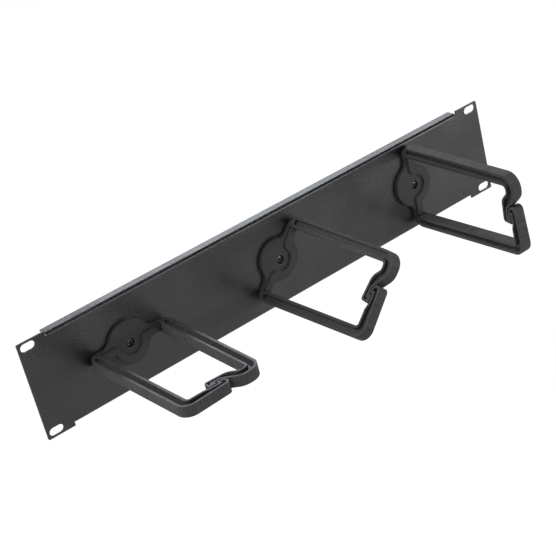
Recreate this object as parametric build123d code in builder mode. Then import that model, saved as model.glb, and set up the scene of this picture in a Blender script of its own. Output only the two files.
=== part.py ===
from build123d import *
from math import atan2, cos, degrees, hypot, radians, sin, tan
import os

# Two-unit rack panel with three swivelling plastic cable rings, in millimetres.
# The origin is the middle of the panel's front face: +X runs along the panel, +Y goes behind it, +Z is up.
# The rings stand out of the front, towards -Y.

# Rack slots in the ears, on the rack's standard spacing
slot_spacing_x = 465.1
slot_spacing_z = 76.2
slot_length = 12.8
slot_width = 6.8

# Panel sheet: its outside edges follow the slots, and the body is a step lower than the ears
slot_to_end = 8.75
slot_to_edge = 4.9
panel_width = slot_spacing_x + 2 * slot_to_end
ear_height = slot_spacing_z + 2 * slot_to_edge
ear_width = 24.9
ear_corner = 1.0
ear_step = 2.0
body_height = ear_height - 2 * ear_step
sheet = 1.5
flange_depth = 10.0
bend_inside = 1.2
relief_gap = 0.8

# Rings on the panel: spacing, and the angle that each one is turned to about its screw
ring_spacing = 152.4
ring_turns = {"left": 90.0, "centre": 45.0, "right": 0.0}

# Ring moulding seen from the side: its reach from the panel, and the strip that it is bent from
ring_reach = 136.2
ring_half_height = 38.3
ring_thickness = 9.3
arm_width = 9.6
arm_draft = 0.85
base_corner = 10.0

# Channel sunk into both faces of the strip, and the rim left beside it
channel_depth = 3.4
channel_start = 7.0
arm_rim = 2.4
leg_rim = 1.8
hook_rim = 2.1

# Upper leg: it turns back from the front, then runs down to its hook
front_width = 9.25
front_corner = 12.3
front_turn = 12.0
turn_back_depth = 16.8
turn_back_width = 8.9
upper_leg_width = 5.2
upper_leg_lean = 4.25
upper_leg_bend = 5.0
upper_leg_inner_bend = 10.0
inner_corner = 3.3

# Interlocking ends: each hook reaches past the middle, with one even gap between them
hook_depth = 9.9
hook_centre = ring_reach - hook_depth
hook_reach = 7.8
hook_gap = 0.9
lip_width = 2.0
upper_hook_corner = 2.5
lower_hook_corner = 4.0
shoulder_corner = 1.5
hook_end_slope = 8.0

# Lower leg: it is wider than the upper one and steps in beside the upper hook
lower_leg_width = 6.3
lower_leg_lean = 3.3
lower_leg_step = 1.3
step_start = 8.3
step_length = 4.2
step_round = 3.0
lower_corner = 10.5
lower_inner_corner = 2.5

# Walls left round the channel where it ends inside each hook
upper_lip_wall = 3.4
upper_lip_side_wall = 3.2
lower_lip_wall = 2.3
lower_lip_side_wall = 1.3

# Foot of the ring: a disc with necks to the arms, a pad, a raised rib and a low flange
foot_radius = ring_half_height / 2
neck_curve = 9.0
flange_height = 2.5
pad_height = 4.0
rib_height = 5.8
rib_width = 5.8
rib_inner_radius = 9.8
rib_outer_radius = 15.0
rib_curve = 6.0

# Screw that holds each ring
shank_diameter = 3.5
head_diameter = 6.8
head_height = 2.1
seat_height = 1.2
head_clearance = 0.3
bore_clearance = 0.05
panel_hole_clearance = 0.15
cross_length = 4.0
cross_width = 1.0
cross_depth = 1.4
shank_past_nut = 1.0

# Washer and lock nut behind the panel
washer_diameter = 9.0
washer_thickness = 0.8
washer_clearance = 0.15
nut_across_flats = 7.0
nut_hex_height = 3.4
nut_height = 5.0
nut_collar_diameter = 6.2
nut_clearance = 0.05

ring_side = Plane(origin=(0, 0, 0), x_dir=(0, -1, 0), z_dir=(-1, 0, 0))


def crossing(side, after):
    """Point where two straight sides meet.

    A side is (u, v, heading, rim, radius of the corner that ends it), with a radius of 0 for a sharp corner.
    """
    u, v, heading = side[:3]
    next_u, next_v, next_heading = after[:3]
    across, up = cos(radians(next_heading)), sin(radians(next_heading))
    along = ((next_u - u) * up - (next_v - v) * across) / sin(radians(next_heading - heading))
    return (u + along * cos(radians(heading)), v + along * sin(radians(heading)))


def turning(side, after):
    """Angle turned at the corner between two sides, positive to the left."""
    return (after[2] - side[2] + 180) % 360 - 180


def corners(sides):
    """Corner points of a closed outline and their radii, with each radius kept within its two sides."""
    following = sides[1:] + sides[:1]
    points = [crossing(side, after) for side, after in zip(sides, following)]
    reach = [tan(radians(abs(turning(side, after)) / 2)) for side, after in zip(sides, following)]
    radii = [side[4] for side in sides]
    for i in range(len(sides)):
        j = (i + 1) % len(sides)
        room = 0.98 * hypot(points[j][0] - points[i][0], points[j][1] - points[i][1])
        need = radii[i] * reach[i] + radii[j] * reach[j]
        if need > room:
            radii[i] *= room / need
            radii[j] *= room / need
    return points, radii


def channel(sides):
    """Channel inside one half of the strip: its sides moved in by their rims, with a full round where it starts."""
    start = (channel_start, 0, 90, 0, arm_width)
    moved = [start]
    for side, after in zip(sides, sides[1:] + [start]):
        u, v, heading, rim, corner = side
        if after is start:
            corner = arm_width
        elif turning(side, after) < 0:
            corner = max(corner - rim, 0)
        elif corner > 0:
            corner += rim
        u += rim * sin(radians(heading))
        v -= rim * cos(radians(heading))
        moved.append((u, v, heading, rim, corner))
    return moved


# Sides of the strip, clockwise on the ring's visible face: u is the distance from the panel, v is up
arm_inside = ring_half_height - arm_width
turn_back = ring_reach - turn_back_depth
upper_leg_front = hook_centre - lip_width / 2 - hook_gap
lower_leg_back = hook_centre + lip_width / 2 + hook_gap
step_heading = degrees(atan2(step_length, lower_leg_step))

# Upper half, from the base out along the arm, round to the hook and back to the foot
upper_half = [
    (0, ring_half_height, -arm_draft, arm_rim, front_corner),
    (ring_reach, 0, -90, arm_rim, front_turn),
    (turn_back, 0, -135, leg_rim, upper_leg_bend),
    (upper_leg_front, 0, -90 - upper_leg_lean, leg_rim, 0),
    (0, -hook_gap / 2, 0, upper_lip_wall, 0),
    (hook_centre + lip_width / 2, 0, -90, upper_lip_side_wall, 0),
    (hook_centre, -hook_reach, 180 - hook_end_slope, leg_rim, upper_hook_corner),
    (upper_leg_front - upper_leg_width, 0, 90 - upper_leg_lean, leg_rim, upper_leg_inner_bend),
    (turn_back - turn_back_width * 2 ** 0.5, 0, 45, leg_rim, inner_corner),
    (ring_reach - front_width, 0, 90, leg_rim, inner_corner),
    (0, arm_inside, 180 - arm_draft, arm_rim, 0),
]

# Lower half, from the foot out along the arm, up to the hook and back to the base
lower_half = [
    (0, -arm_inside, arm_draft, arm_rim, lower_inner_corner),
    (lower_leg_back - lower_leg_step, 0, 90, leg_rim, step_round),
    (lower_leg_back, -step_start, step_heading, leg_rim, step_round),
    (lower_leg_back, 0, 90, hook_rim, 0),
    (0, hook_gap / 2, 180, lower_lip_wall, 0),
    (hook_centre - lip_width / 2, 0, 90 - upper_leg_lean, lower_lip_side_wall, upper_leg_bend - hook_gap),
    (turn_back + hook_gap * 2 ** 0.5, 0, 45, leg_rim, shoulder_corner),
    (0, hook_reach, 0, leg_rim, lower_hook_corner),
    (lower_leg_back + lower_leg_width, 0, lower_leg_lean - 90, hook_rim, lower_corner),
    (0, -ring_half_height, 180 + arm_draft, arm_rim, base_corner),
]
base_side = (0, 0, 90, 0, base_corner)
foot_side = (flange_height, 0, -90, 0, 0)
strip = [base_side] + upper_half + [foot_side] + lower_half


def make_ring():
    """Ring moulding at the middle of the panel, upright, with its visible face towards -X."""
    half_thickness = ring_thickness / 2
    neck_end = ring_half_height - base_corner
    with BuildPart() as ring:

        # Strip bent to the ring's outline, with a channel in each half and on both faces
        with BuildSketch(ring_side):
            with BuildLine():
                points, radii = corners(strip)
                FilletPolyline(*points, radius=radii, close=True)
            make_face()
        extrude(amount=half_thickness, both=True)
        for half in (upper_half, lower_half):
            points, radii = corners(channel(half))
            for face_plane in (ring_side.offset(half_thickness), ring_side.offset(-half_thickness)):
                inwards = -channel_depth if face_plane.origin.X < 0 else channel_depth
                with BuildSketch(face_plane):
                    with BuildLine():
                        FilletPolyline(*points, radius=radii, close=True)
                    make_face()
                extrude(amount=inwards, mode=Mode.SUBTRACT)

        # Foot disc with its necks, flush with the arms, and the higher pad on the screw's side of the rib
        with BuildSketch(Plane.XZ) as foot:
            Circle(foot_radius)
            Rectangle(ring_thickness, 2 * neck_end)
            waists = foot.vertices().group_by(lambda corner: abs(corner.Y))[-2]
            fillet(waists, neck_curve)
        extrude(amount=flange_height)
        with BuildSketch(Plane.XZ):
            add(foot.sketch)
            with Locations((foot_radius, 0)):
                Rectangle(2 * foot_radius, 4 * neck_end, mode=Mode.SUBTRACT)
            Circle((rib_inner_radius + rib_outer_radius) / 2)
        extrude(amount=pad_height)

        # Rib that leaves one arm, bends round the far side of the screw and meets the other arm
        with BuildSketch(Plane.XZ) as rib:
            Rectangle(rib_width, 2 * neck_end)
            Circle(rib_outer_radius)
            with Locations((-rib_width / 2 - foot_radius, 0)):
                Rectangle(2 * foot_radius, 4 * neck_end, mode=Mode.SUBTRACT)
            Circle(rib_inner_radius, mode=Mode.SUBTRACT)
            waists = rib.vertices().group_by(lambda corner: corner.X)[0].sort_by(lambda corner: abs(corner.Y))
            fillet(waists[:2], rib_curve)
        extrude(amount=rib_height)

        # Screw seat and bore
        with Locations(Plane.XZ.offset(pad_height)):
            CounterBoreHole(shank_diameter / 2 + bore_clearance, head_diameter / 2 + head_clearance,
                            pad_height - seat_height, pad_height)

    return ring.part


def make_panel():
    """Folded sheet: flat ears with rack slots, and flanges bent back along the top and bottom."""
    half_body = body_height / 2
    bend_outside = bend_inside + sheet
    bend_height = half_body - bend_outside
    lap = bend_height - sheet
    body_width = panel_width - 2 * (ear_width + relief_gap)
    ear_place = (panel_width - ear_width) / 2
    with BuildPart() as panel:

        # Flat sheet: two ears, and the body between them up to the bends
        with BuildSketch(Plane.XZ) as flat:
            Rectangle(panel_width, 2 * bend_height)
            with GridLocations(2 * ear_place, 0, 2, 1):
                Rectangle(ear_width, ear_height)
            ends = flat.vertices().group_by(lambda corner: abs(corner.X))[-1]
            fillet(ends, ear_corner)
            with GridLocations(slot_spacing_x, slot_spacing_z, 2, 2):
                SlotOverall(slot_length, slot_width, mode=Mode.SUBTRACT)
            with GridLocations(ring_spacing, 0, 3, 1):
                Circle(shank_diameter / 2 + panel_hole_clearance, mode=Mode.SUBTRACT)
        extrude(amount=-sheet)

        # Bend and flange along the top, mirrored to the bottom
        with BuildSketch(Plane.YZ):
            with BuildLine():
                outer = [(0, lap), (0, half_body), (flange_depth, half_body)]
                outside = FilletPolyline(*outer, radius=bend_outside)
                inner = [(sheet, lap), (sheet, half_body - sheet), (flange_depth, half_body - sheet)]
                inside = FilletPolyline(*inner, radius=bend_inside)
                Line(outside @ 0, inside @ 0)
                Line(outside @ 1, inside @ 1)
            make_face()
            mirror(about=Plane.XZ)
        extrude(amount=body_width / 2, both=True)
    return panel.part


def make_screw():
    """Cross-recessed pan-head screw on the panel's Y axis, head towards the front."""
    head_top = -(seat_height + head_height)
    tip = sheet + washer_thickness + nut_height + shank_past_nut
    with BuildPart() as screw:
        with BuildSketch(Plane.XY):
            with Locations((head_diameter / 4, head_top + head_height / 2)):
                Rectangle(head_diameter / 2, head_height)
            with Locations((shank_diameter / 4, (tip - seat_height) / 2)):
                Rectangle(shank_diameter / 2, tip + seat_height)
        revolve(axis=Axis.Y)
        with BuildSketch(Plane.XZ.offset(-head_top)):
            Rectangle(cross_length, cross_width)
            Rectangle(cross_width, cross_length)
        extrude(amount=-cross_depth, mode=Mode.SUBTRACT)
    return screw.part


def make_washer():
    """Plain washer against the back of the panel."""
    with BuildPart() as washer:
        with BuildSketch(Plane.XZ.offset(-sheet)):
            Circle(washer_diameter / 2)
            Circle(shank_diameter / 2 + washer_clearance, mode=Mode.SUBTRACT)
        extrude(amount=-washer_thickness)
    return washer.part


def make_lock_nut():
    """Hexagon lock nut with a round collar at its free end, against the washer."""
    seat = sheet + washer_thickness
    with BuildPart() as nut:
        with BuildSketch(Plane.XZ.offset(-seat)):
            RegularPolygon(nut_across_flats / 2, 6, major_radius=False)
        extrude(amount=-nut_hex_height)
        with BuildSketch(Plane.XZ.offset(-seat)):
            Circle(nut_collar_diameter / 2)
        extrude(amount=-nut_height)
        with BuildSketch(Plane.XZ.offset(-seat)):
            Circle(shank_diameter / 2 + nut_clearance)
        extrude(amount=-nut_height, mode=Mode.SUBTRACT)
    return nut.part


def place(piece, name, x, turn=0.0):
    """Set one piece at its place along the panel, turned about its screw, and write it."""
    with BuildPart() as placed:
        with Locations(Location((x, 0, 0), (0, turn, 0))):
            add(piece)
    placed.part.label = name
    export_step(placed.part, f"parts/{name}.step")


os.makedirs("parts", exist_ok=True)
place(make_panel(), "panel", 0)
ring = make_ring()
screw = make_screw()
washer = make_washer()
lock_nut = make_lock_nut()
for index, (side, turn) in enumerate(ring_turns.items()):
    x = (index - 1) * ring_spacing
    place(ring, f"{side}_ring", x, turn)
    place(screw, f"{side}_screw", x, turn)
    place(washer, f"{side}_washer", x)
    place(lock_nut, f"{side}_lock_nut", x)
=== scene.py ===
from math import cos, hypot, pi, radians, sin, tau

import bmesh
import bpy
from mathutils import Matrix, Vector


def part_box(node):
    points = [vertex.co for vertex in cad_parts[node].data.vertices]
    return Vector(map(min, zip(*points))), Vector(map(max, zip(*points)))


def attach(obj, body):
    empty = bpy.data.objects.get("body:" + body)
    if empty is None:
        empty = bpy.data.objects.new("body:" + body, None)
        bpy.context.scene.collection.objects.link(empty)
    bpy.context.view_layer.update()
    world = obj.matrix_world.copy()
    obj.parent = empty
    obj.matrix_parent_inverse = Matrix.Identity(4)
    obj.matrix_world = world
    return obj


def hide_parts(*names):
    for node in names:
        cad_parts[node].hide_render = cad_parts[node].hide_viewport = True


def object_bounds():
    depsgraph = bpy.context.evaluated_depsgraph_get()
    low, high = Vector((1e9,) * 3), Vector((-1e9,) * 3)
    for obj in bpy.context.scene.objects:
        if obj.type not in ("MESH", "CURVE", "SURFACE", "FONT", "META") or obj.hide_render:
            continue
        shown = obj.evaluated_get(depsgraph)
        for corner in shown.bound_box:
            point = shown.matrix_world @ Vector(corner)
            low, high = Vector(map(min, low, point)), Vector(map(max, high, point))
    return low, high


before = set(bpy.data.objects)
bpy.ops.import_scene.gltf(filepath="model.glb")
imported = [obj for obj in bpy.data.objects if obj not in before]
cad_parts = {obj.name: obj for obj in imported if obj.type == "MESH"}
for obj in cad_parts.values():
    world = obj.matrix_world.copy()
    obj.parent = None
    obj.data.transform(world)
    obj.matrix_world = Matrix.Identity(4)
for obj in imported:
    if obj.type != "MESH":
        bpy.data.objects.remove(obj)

# Looks of a black rack panel with three plastic cable rings.
# Everything is in metres and in the frame's axes: +X along the panel, -Y towards the viewer, +Z up.
MM = 0.001
WHITE = (1.0, 1.0, 1.0)
cad_low, cad_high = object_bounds()

# Camera, as the photo was taken: from the left, above and in front, with a lean of the whole frame
CAMERA_PLACE = Vector((-0.6057, -1.0060, 0.5560))
CAMERA_AIM = Vector((-0.0043, 0.0, -0.0165))
CAMERA_ROLL = -14.65
CAMERA_LENS = 100.8
SENSOR_WIDTH = 36.0
CLIP_START = 0.05
CLIP_END = 60.0

# Floor: nearly all of its white is its own glow, so that it stays even
FLOOR_DROP = 0.16
FLOOR_SIZE = 30.0
FLOOR_COLOUR = (0.08, 0.08, 0.08)
FLOOR_GLOW = 0.90

# Surroundings: bright up to a low height and dim above, as in a studio with a dark ceiling.
# The brightness fades between two angles above the horizon.
LOW_SKY = 1.0
HIGH_SKY = 0.10
SKY_FADE_START = 20.0
SKY_FADE_END = 38.0

# Angle that each ring is turned to about its screw
RING_TURNS = {"left": 90.0, "centre": 45.0, "right": 0.0}

# Draw lines on the ring's strip: how far they are stretched, and where they fade out in front of the foot
LINE_STRETCH = 0.04
FOOT_REACH = 6.0 * MM
FOOT_FADE = 2.0 * MM

# Fasteners: the angle up to which their faces look smooth, and a distance too small to be seen
SMOOTH_ANGLE = 32.0
HAIR = 0.01 * MM

# Screw: a domed head with a cross recess, and a thread.
# The recess narrows by a share of its length, and its cutter starts a share of its depth above the head.
SCREW_SEGMENTS = 48
HEAD_HEIGHT = 2.1 * MM
HEAD_EDGE = 0.25 * MM
DOME_HEIGHT = 1.1 * MM
DOME_STEPS = 12
DOME_TIP_RADIUS = 0.02 * MM
THREAD_PITCH = 0.6 * MM
THREAD_DEPTH = 0.3 * MM
ROWS_PER_PITCH = 6
SHANK_RADIUS = 1.75 * MM
RECESS_LENGTH = 3.8 * MM
RECESS_WIDTH = 0.95 * MM
RECESS_DEPTH = 1.5 * MM
RECESS_NARROWING = 0.45
CUTTER_RISE = 0.5

# Lock nut: chamfered corners, a rolled collar, and a nylon ring in its end
NUT_SEGMENTS = 96
NUT_HEX_HEIGHT = 3.4 * MM
NUT_CHAMFER = 0.45 * MM
NUT_FACE_EDGE = 0.05 * MM
COLLAR_RADIUS = 3.1 * MM
COLLAR_ROUND = 0.7 * MM
COLLAR_STEPS = 6
NYLON_RADIUS = 2.45 * MM
NYLON_SINK = 0.25 * MM


class Graph:
    """Nodes of one material or of the world. Each call but fill adds a node and returns its output."""

    def __init__(self, tree):
        self.nodes = tree.nodes
        self.links = tree.links

    def fill(self, node, inputs):
        """Link each input to another node's output, or set it to a value, and return the node's outputs."""
        for name, source in inputs.items():
            if isinstance(source, bpy.types.NodeSocket):
                self.links.new(source, node.inputs[name])
            else:
                node.inputs[name].default_value = source
        return node.outputs

    def coordinates(self, kind):
        """Coordinates: Object and Normal in the object's axes, and Generated as a direction in the world."""
        return self.nodes.new("ShaderNodeTexCoord").outputs[kind]

    def upright(self, vector, turn):
        """Vector turned back with its ring, so that X runs through the strip's thickness."""
        node = self.nodes.new("ShaderNodeVectorRotate")
        node.rotation_type = "Y_AXIS"
        return self.fill(node, {"Vector": vector, "Angle": -radians(turn)})["Vector"]

    def stretched(self, vector, scale):
        """Vector scaled by one factor along each axis."""
        node = self.nodes.new("ShaderNodeVectorMath")
        node.operation = "MULTIPLY"
        return self.fill(node, {0: vector, 1: scale})["Vector"]

    def axis(self, vector, name):
        """One component of a vector."""
        node = self.nodes.new("ShaderNodeSeparateXYZ")
        return self.fill(node, {"Vector": vector})[name]

    def magnitude(self, value):
        """Value without its sign."""
        node = self.nodes.new("ShaderNodeMath")
        node.operation = "ABSOLUTE"
        return self.fill(node, {0: value})["Value"]

    def combine(self, operation, first, second):
        """Sum or product of two values, as ADD or MULTIPLY."""
        node = self.nodes.new("ShaderNodeMath")
        node.operation = operation
        return self.fill(node, {0: first, 1: second})["Value"]

    def noise(self, place, scale, detail, roughness=0.5):
        """Noise texture, with its scale in features per metre."""
        node = self.nodes.new("ShaderNodeTexNoise")
        inputs = {"Vector": place, "Scale": scale, "Detail": detail, "Roughness": roughness}
        return self.fill(node, inputs)["Fac"]

    def remap(self, value, low, high, to_low=0.0, to_high=1.0):
        """Linear map of a value, clamped to its ends."""
        node = self.nodes.new("ShaderNodeMapRange")
        inputs = {"Value": value, "From Min": low, "From Max": high, "To Min": to_low, "To Max": to_high}
        return self.fill(node, inputs)["Result"]

    def tint(self, value, dark, light):
        """Mix of two colours by a value."""
        node = self.nodes.new("ShaderNodeMix")
        node.data_type = "RGBA"
        return self.fill(node, {"Factor": value, "A": (*dark, 1), "B": (*light, 1)})["Result"]

    def soft_edges(self, radius):
        """Normal that rounds sharp edges by a small radius."""
        node = self.nodes.new("ShaderNodeBevel")
        node.samples = 8
        return self.fill(node, {"Radius": radius})["Normal"]

    def bump(self, height, distance, strength, normal=None):
        """Normal that follows a height, on top of an earlier normal if there is one."""
        node = self.nodes.new("ShaderNodeBump")
        inputs = {"Height": height, "Distance": distance, "Strength": strength}
        if normal is not None:
            inputs["Normal"] = normal
        return self.fill(node, inputs)["Normal"]


def new_material(name):
    """A node material, with its graph and its shader."""
    material = bpy.data.materials.new(name)
    material.use_nodes = True
    return material, Graph(material.node_tree), material.node_tree.nodes["Principled BSDF"]


def powder_coat():
    """Black powder coat on the panel: fine orange peel, and slight clouding of its sheen."""
    material, graph, shader = new_material("powder_coat")
    place = graph.coordinates("Object")
    grain = graph.noise(place, scale=650.0, detail=3.0, roughness=0.6)
    clouds = graph.noise(place, scale=30.0, detail=3.0)
    speckle = graph.remap(grain, low=0.46, high=0.72)
    colour = graph.tint(speckle, dark=(0.0005, 0.0005, 0.0006), light=(0.012, 0.0122, 0.0124))
    dullness = graph.remap(clouds, low=0.3, high=0.7, to_low=0.28, to_high=0.40)

    # The orange peel is lower on the flanges, which are smoother in the photo
    on_flange = graph.magnitude(graph.axis(graph.coordinates("Normal"), "Z"))
    peel_share = graph.remap(on_flange, low=0.4, high=0.8, to_low=1.0, to_high=0.3)
    peel = graph.combine("MULTIPLY", grain, peel_share)
    waves = graph.bump(clouds, distance=0.5 * MM, strength=0.25, normal=graph.soft_edges(0.3 * MM))
    normal = graph.bump(peel, distance=0.25 * MM, strength=0.55, normal=waves)
    graph.fill(shader, {"Base Color": colour, "Roughness": dullness, "Normal": normal})
    graph.fill(shader, {"Specular IOR Level": 0.46})
    return material


def ring_plastic(name, turn):
    """Black moulded plastic: smooth rims and foot, and duller sides with fine lines across them."""
    material, graph, shader = new_material(name)
    place = graph.coordinates("Object")
    facing = graph.axis(graph.upright(graph.coordinates("Normal"), turn), "X")
    on_side = graph.remap(graph.magnitude(facing), low=0.4, high=0.7, to_low=1.0, to_high=0.0)
    outwards = graph.axis(place, "Y")
    on_strip = graph.remap(outwards, low=-FOOT_REACH - FOOT_FADE, high=-FOOT_REACH, to_low=1.0, to_high=0.0)
    lined = graph.combine("MULTIPLY", on_side, on_strip)

    along_lines = graph.stretched(graph.upright(place, turn), (LINE_STRETCH, 1.0, 1.0))
    lines = graph.noise(along_lines, scale=1100.0, detail=2.0, roughness=0.6)
    grain = graph.noise(place, scale=1300.0, detail=2.0)
    clouds = graph.noise(place, scale=60.0, detail=3.0)
    tone = graph.combine("MULTIPLY", graph.remap(lines, low=0.38, high=0.64), lined)
    colour = graph.tint(tone, dark=(0.015, 0.0151, 0.0154), light=(0.029, 0.0292, 0.0297))
    cloudiness = graph.remap(clouds, low=0.3, high=0.7, to_low=0.33, to_high=0.41)
    side_dullness = graph.remap(lined, low=0.0, high=1.0, to_low=0.0, to_high=0.34)
    dullness = graph.combine("ADD", cloudiness, side_dullness)
    fine = graph.bump(grain, distance=0.04 * MM, strength=0.15, normal=graph.soft_edges(0.6 * MM))
    line_height = graph.combine("MULTIPLY", lines, lined)
    normal = graph.bump(line_height, distance=0.12 * MM, strength=0.4, normal=fine)
    graph.fill(shader, {"Base Color": colour, "Roughness": dullness, "Normal": normal})
    graph.fill(shader, {"Specular IOR Level": 0.18})
    return material


def screw_steel():
    """Black oxide screw, worn to bare metal in spots."""
    material, graph, shader = new_material("screw_steel")
    wear = graph.noise(graph.coordinates("Object"), scale=700.0, detail=2.0)
    bare = graph.remap(wear, low=0.54, high=0.70)
    colour = graph.tint(bare, dark=(0.022, 0.022, 0.024), light=(0.16, 0.16, 0.17))
    dullness = graph.remap(wear, low=0.3, high=0.7, to_low=0.24, to_high=0.38)
    graph.fill(shader, {"Base Color": colour, "Roughness": dullness, "Metallic": 1.0})
    return material


def zinc_steel():
    """Bright zinc plate on the washers and nuts."""
    material, graph, shader = new_material("zinc_steel")
    mottle = graph.noise(graph.coordinates("Object"), scale=400.0, detail=3.0)
    tone = graph.remap(mottle, low=0.3, high=0.7)
    colour = graph.tint(tone, dark=(0.46, 0.47, 0.49), light=(0.60, 0.61, 0.63))
    dullness = graph.remap(mottle, low=0.3, high=0.7, to_low=0.26, to_high=0.40)
    normal = graph.soft_edges(0.1 * MM)
    graph.fill(shader, {"Base Color": colour, "Roughness": dullness, "Normal": normal, "Metallic": 1.0})
    return material


def nylon():
    """Milky nylon of the ring inside a lock nut, slightly uneven where the screw has cut it."""
    material, graph, shader = new_material("nylon")
    mottle = graph.noise(graph.coordinates("Object"), scale=900.0, detail=2.0)
    tone = graph.remap(mottle, low=0.3, high=0.7)
    colour = graph.tint(tone, dark=(0.55, 0.55, 0.52), light=(0.68, 0.68, 0.65))
    normal = graph.bump(mottle, distance=0.1 * MM, strength=0.4)
    graph.fill(shader, {"Base Color": colour, "Roughness": 0.45, "Normal": normal})
    return material


def dress(material, *endings):
    """Give a material to every CAD node whose name ends with one of the given words."""
    for name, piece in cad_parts.items():
        if name.endswith(endings):
            piece.data.materials.clear()
            piece.data.materials.append(material)


def finished_mesh(name, form):
    """Mesh with its faces turned outwards, made from a form that is freed."""
    bmesh.ops.recalc_face_normals(form, faces=form.faces)
    mesh = bpy.data.meshes.new(name)
    form.to_mesh(mesh)
    form.free()
    return mesh


def turned(name, rows, segments, radius_at, closed=False):
    """Mesh turned about the Y axis from rows of (radius, place along Y).

    radius_at(radius, along, angle) gives the radius round the axis. A closed form joins its two end rows,
    and any other has a face at each end.
    """
    form = bmesh.new()
    rings = []
    for radius, along in rows:
        ring = []
        for step in range(segments):
            angle = tau * step / segments
            reach = radius_at(radius, along, angle)
            ring.append(form.verts.new((reach * cos(angle), along, reach * sin(angle))))
        rings.append(ring)
    following = rings[1:] + rings[:1] if closed else rings[1:]
    for near, far in zip(rings, following):
        for step in range(segments):
            after = (step + 1) % segments
            form.faces.new((near[step], near[after], far[after], far[step]))
    if not closed:
        form.faces.new(rings[0])
        form.faces.new(rings[-1])
    return finished_mesh(name, form)


def cross_outline(length, width):
    """Twelve corners of a cross, as (x, z)."""
    arm, side = length / 2, width / 2
    quarter = [(arm, -side), (arm, side), (side, side)]
    points = []
    for step in range(4):
        turn = step * pi / 2
        points += [(x * cos(turn) - z * sin(turn), x * sin(turn) + z * cos(turn)) for x, z in quarter]
    return points


def recess_cutter(top):
    """Tapered cross that cuts the driver's recess, from a little above the head down to its depth."""
    form = bmesh.new()
    rings = []
    for share in (-CUTTER_RISE, 1.0):
        taper = RECESS_NARROWING * share
        corners = cross_outline(RECESS_LENGTH * (1 - taper), RECESS_WIDTH * (1 - taper / 2))
        rings.append([form.verts.new((x, top + share * RECESS_DEPTH, z)) for x, z in corners])
    upper, lower = rings
    for step in range(len(upper)):
        after = (step + 1) % len(upper)
        form.faces.new((upper[step], upper[after], lower[after], lower[step]))
    for ring in rings:
        form.faces.new(ring)
    return finished_mesh("recess_cutter", form)


def cut(mesh, cutter_mesh):
    """Mesh with another one cut out of it."""
    body = bpy.data.objects.new("body", mesh)
    cutter = bpy.data.objects.new("cutter", cutter_mesh)
    for piece in (body, cutter):
        bpy.context.scene.collection.objects.link(piece)
    modifier = body.modifiers.new("recess", "BOOLEAN")
    modifier.operation = "DIFFERENCE"
    modifier.solver = "EXACT"
    modifier.object = cutter
    result = bpy.data.meshes.new_from_object(body.evaluated_get(bpy.context.evaluated_depsgraph_get()))
    for piece in (body, cutter):
        bpy.data.objects.remove(piece)
    return result


def thread_radius(radius, along, angle):
    """Radius of the screw at one place: a helical thread on the shank, and plain on the head."""
    if radius > SHANK_RADIUS:
        return radius
    phase = (along / THREAD_PITCH - angle / tau) % 1.0
    return radius - THREAD_DEPTH * abs(2 * phase - 1)


def screw_mesh(low, high):
    """Screw between its head's top and its tip, on the Y axis."""
    head_radius = (high.x - low.x) / 2
    underside = low.y + HEAD_HEIGHT
    shank = high.y - underside
    count = round(shank / THREAD_PITCH * ROWS_PER_PITCH)
    rows = [(SHANK_RADIUS - THREAD_DEPTH, high.y)]
    rows += [(SHANK_RADIUS, high.y - shank * (step + 0.5) / count) for step in range(count)]
    rows += [(SHANK_RADIUS + HAIR, underside), (head_radius - HEAD_EDGE, underside)]
    rows += [(head_radius, underside - HEAD_EDGE), (head_radius, low.y + DOME_HEIGHT)]
    for step in range(1, DOME_STEPS):
        angle = step / DOME_STEPS * pi / 2
        rows.append((head_radius * cos(angle), low.y + DOME_HEIGHT * (1 - sin(angle))))
    rows.append((DOME_TIP_RADIUS, low.y))
    return cut(turned("screw", rows, SCREW_SEGMENTS, thread_radius), recess_cutter(low.y))


def lock_nut_mesh(low, high):
    """Lock nut between its seat and its end, on the Y axis, with its nylon ring as the second material."""
    flats = (high.z - low.z) / 2
    sixth = radians(60)
    corner = flats / cos(sixth / 2)

    def hexagon(radius, along, angle):
        """Radius of a row: its own inside the flats, and beyond them no more than the hexagon's."""
        if radius < flats:
            return radius
        return min(flats / cos(angle % sixth - sixth / 2), radius)

    hex_end = low.y + NUT_HEX_HEIGHT
    just_inside, just_outside = flats - NUT_FACE_EDGE, flats + NUT_FACE_EDGE
    rows = [(SHANK_RADIUS, low.y), (just_inside, low.y), (just_outside, low.y)]
    rows += [(corner, low.y + NUT_CHAMFER), (corner, hex_end - NUT_CHAMFER), (just_outside, hex_end)]
    rows += [(COLLAR_RADIUS, hex_end), (COLLAR_RADIUS, high.y - COLLAR_ROUND)]
    for step in range(1, COLLAR_STEPS + 1):
        angle = step / COLLAR_STEPS * pi / 2
        radius = COLLAR_RADIUS - COLLAR_ROUND * (1 - cos(angle))
        rows.append((radius, high.y - COLLAR_ROUND * (1 - sin(angle))))
    nylon_face = high.y - NYLON_SINK
    rows += [(NYLON_RADIUS, high.y), (NYLON_RADIUS, nylon_face), (SHANK_RADIUS, nylon_face)]
    mesh = turned("lock_nut", rows, NUT_SEGMENTS, hexagon, closed=True)
    for face in mesh.polygons:
        corners = [mesh.vertices[i].co for i in face.vertices]
        within_collar = max(hypot(place.x, place.z) for place in corners) < NYLON_RADIUS + HAIR
        near_end = face.center.y > high.y - 2 * NYLON_SINK
        faces_out = abs(face.normal.y) > 0.5
        if within_collar and near_end and faces_out:
            face.material_index = 1
    return mesh


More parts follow.
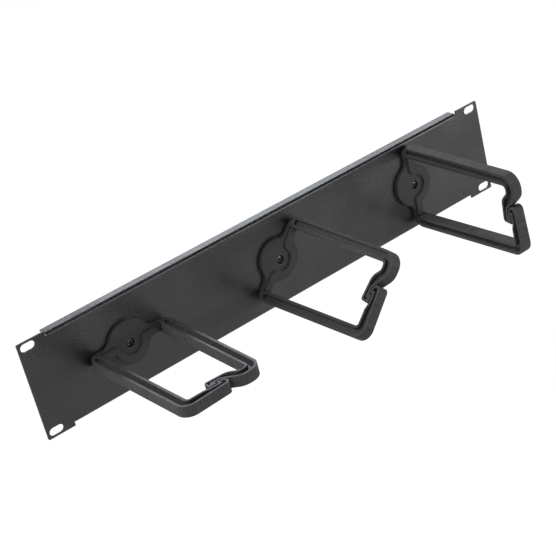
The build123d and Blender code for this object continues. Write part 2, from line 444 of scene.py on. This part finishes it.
def fit_fastener(name, make_mesh, materials, turn=0.0):
    """Put a finer fastener in the place of its CAD node."""
    low, high = (Vector(corner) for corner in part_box(name))
    shift = Vector(((low.x + high.x) / 2, 0, 0))
    mesh = make_mesh(low - shift, high - shift)
    mesh.transform(Matrix.Translation(shift) @ Matrix.Rotation(radians(turn), 4, "Y"))
    mesh.shade_smooth()
    mesh.set_sharp_from_angle(angle=radians(SMOOTH_ANGLE))
    for material in materials:
        mesh.materials.append(material)
    piece = bpy.data.objects.new(f"{name}_detail", mesh)
    bpy.context.scene.collection.objects.link(piece)
    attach(piece, "panel")
    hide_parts(name)


def make_floor():
    """Plain white floor well below the panel, which is held by its ears."""
    height = cad_low.z - FLOOR_DROP
    half = FLOOR_SIZE / 2
    corners = [(x, y, height) for x, y in ((-half, -half), (half, -half), (half, half), (-half, half))]
    mesh = bpy.data.meshes.new("floor")
    mesh.from_pydata(corners, [], [(0, 1, 2, 3)])
    floor = bpy.data.objects.new("floor", mesh)
    bpy.context.scene.collection.objects.link(floor)
    material, graph, shader = new_material("floor_white")
    graph.fill(shader, {"Base Color": (*FLOOR_COLOUR, 1), "Roughness": 1.0, "Specular IOR Level": 0.0})
    graph.fill(shader, {"Emission Color": (*WHITE, 1), "Emission Strength": FLOOR_GLOW})
    mesh.materials.append(material)


def make_surroundings():
    """White surroundings that dim with height."""
    world = bpy.data.worlds.new("studio")
    world.use_nodes = True
    graph = Graph(world.node_tree)
    height = graph.axis(graph.coordinates("Generated"), "Z")

    # The height of a direction is the sine of its angle above the horizon
    start, end = sin(radians(SKY_FADE_START)), sin(radians(SKY_FADE_END))
    level = graph.remap(height, low=start, high=end, to_low=LOW_SKY, to_high=HIGH_SKY)
    graph.fill(world.node_tree.nodes["Background"], {"Color": (*WHITE, 1), "Strength": level})
    bpy.context.scene.world = world


def area_light(name, place, size, power, aim=(0.0, 0.0, 0.0), colour=WHITE):
    """Soft rectangular light at a place, turned to its aim."""
    data = bpy.data.lights.new(name, "AREA")
    data.shape = "RECTANGLE"
    data.size, data.size_y = size
    data.energy = power
    data.color = colour
    light = bpy.data.objects.new(name, data)
    light.location = place
    light.rotation_mode = "QUATERNION"
    light.rotation_quaternion = (Vector(aim) - Vector(place)).to_track_quat("-Z", "Y")
    bpy.context.scene.collection.objects.link(light)


def make_lights():
    """Soft lights of the studio, each for the faces that mirror it or look towards it."""
    # Upper flange and the rims of the left ring
    area_light("back_strip", place=(1.35, 1.6, 1.38), size=(1.8, 0.6), power=26.0, colour=(0.85, 0.90, 1.0))
    # Right part of the panel's front
    area_light("right_front", place=(1.5, -1.4, 0.05), size=(1.8, 0.5), power=23.0, aim=(0.1, 0.0, 0.0))
    # Faces that look up
    area_light("overhead", place=(-0.9, 0.1, 1.45), size=(1.5, 1.5), power=72.0, aim=(-0.1, 0.0, 0.0))
    # Faces that look to the left
    area_light("left_side", place=(-2.1, -0.3, 0.55), size=(2.0, 1.3), power=22.0)
    # Light line under the upper bend
    area_light("low_strip", place=(0.75, -1.4, -0.1), size=(1.6, 0.14), power=5.0)


def make_camera():
    """Camera at the photo's place, aim and lean."""
    data = bpy.data.cameras.new("camera")
    data.lens = CAMERA_LENS
    data.sensor_width = SENSOR_WIDTH
    data.clip_start = CLIP_START
    data.clip_end = CLIP_END
    camera = bpy.data.objects.new("camera", data)
    turn = (CAMERA_AIM - CAMERA_PLACE).to_track_quat("-Z", "Y").to_matrix().to_4x4()
    lean = Matrix.Rotation(radians(CAMERA_ROLL), 4, "Z")
    camera.matrix_world = Matrix.Translation(CAMERA_PLACE) @ turn @ lean
    bpy.context.scene.collection.objects.link(camera)
    bpy.context.scene.camera = camera


dress(powder_coat(), "panel")
zinc = zinc_steel()
oxide = screw_steel()
nylon_ring = nylon()
dress(zinc, "_washer", "_nut")
dress(oxide, "_screw")
for side, ring_turn in RING_TURNS.items():
    dress(ring_plastic(f"{side}_ring_plastic", ring_turn), f"{side}_ring")
    fit_fastener(f"{side}_screw", screw_mesh, [oxide], ring_turn)
    fit_fastener(f"{side}_lock_nut", lock_nut_mesh, [zinc, nylon_ring])
make_floor()
make_surroundings()
make_lights()
make_camera()
bpy.context.scene.view_settings.view_transform = "Standard"
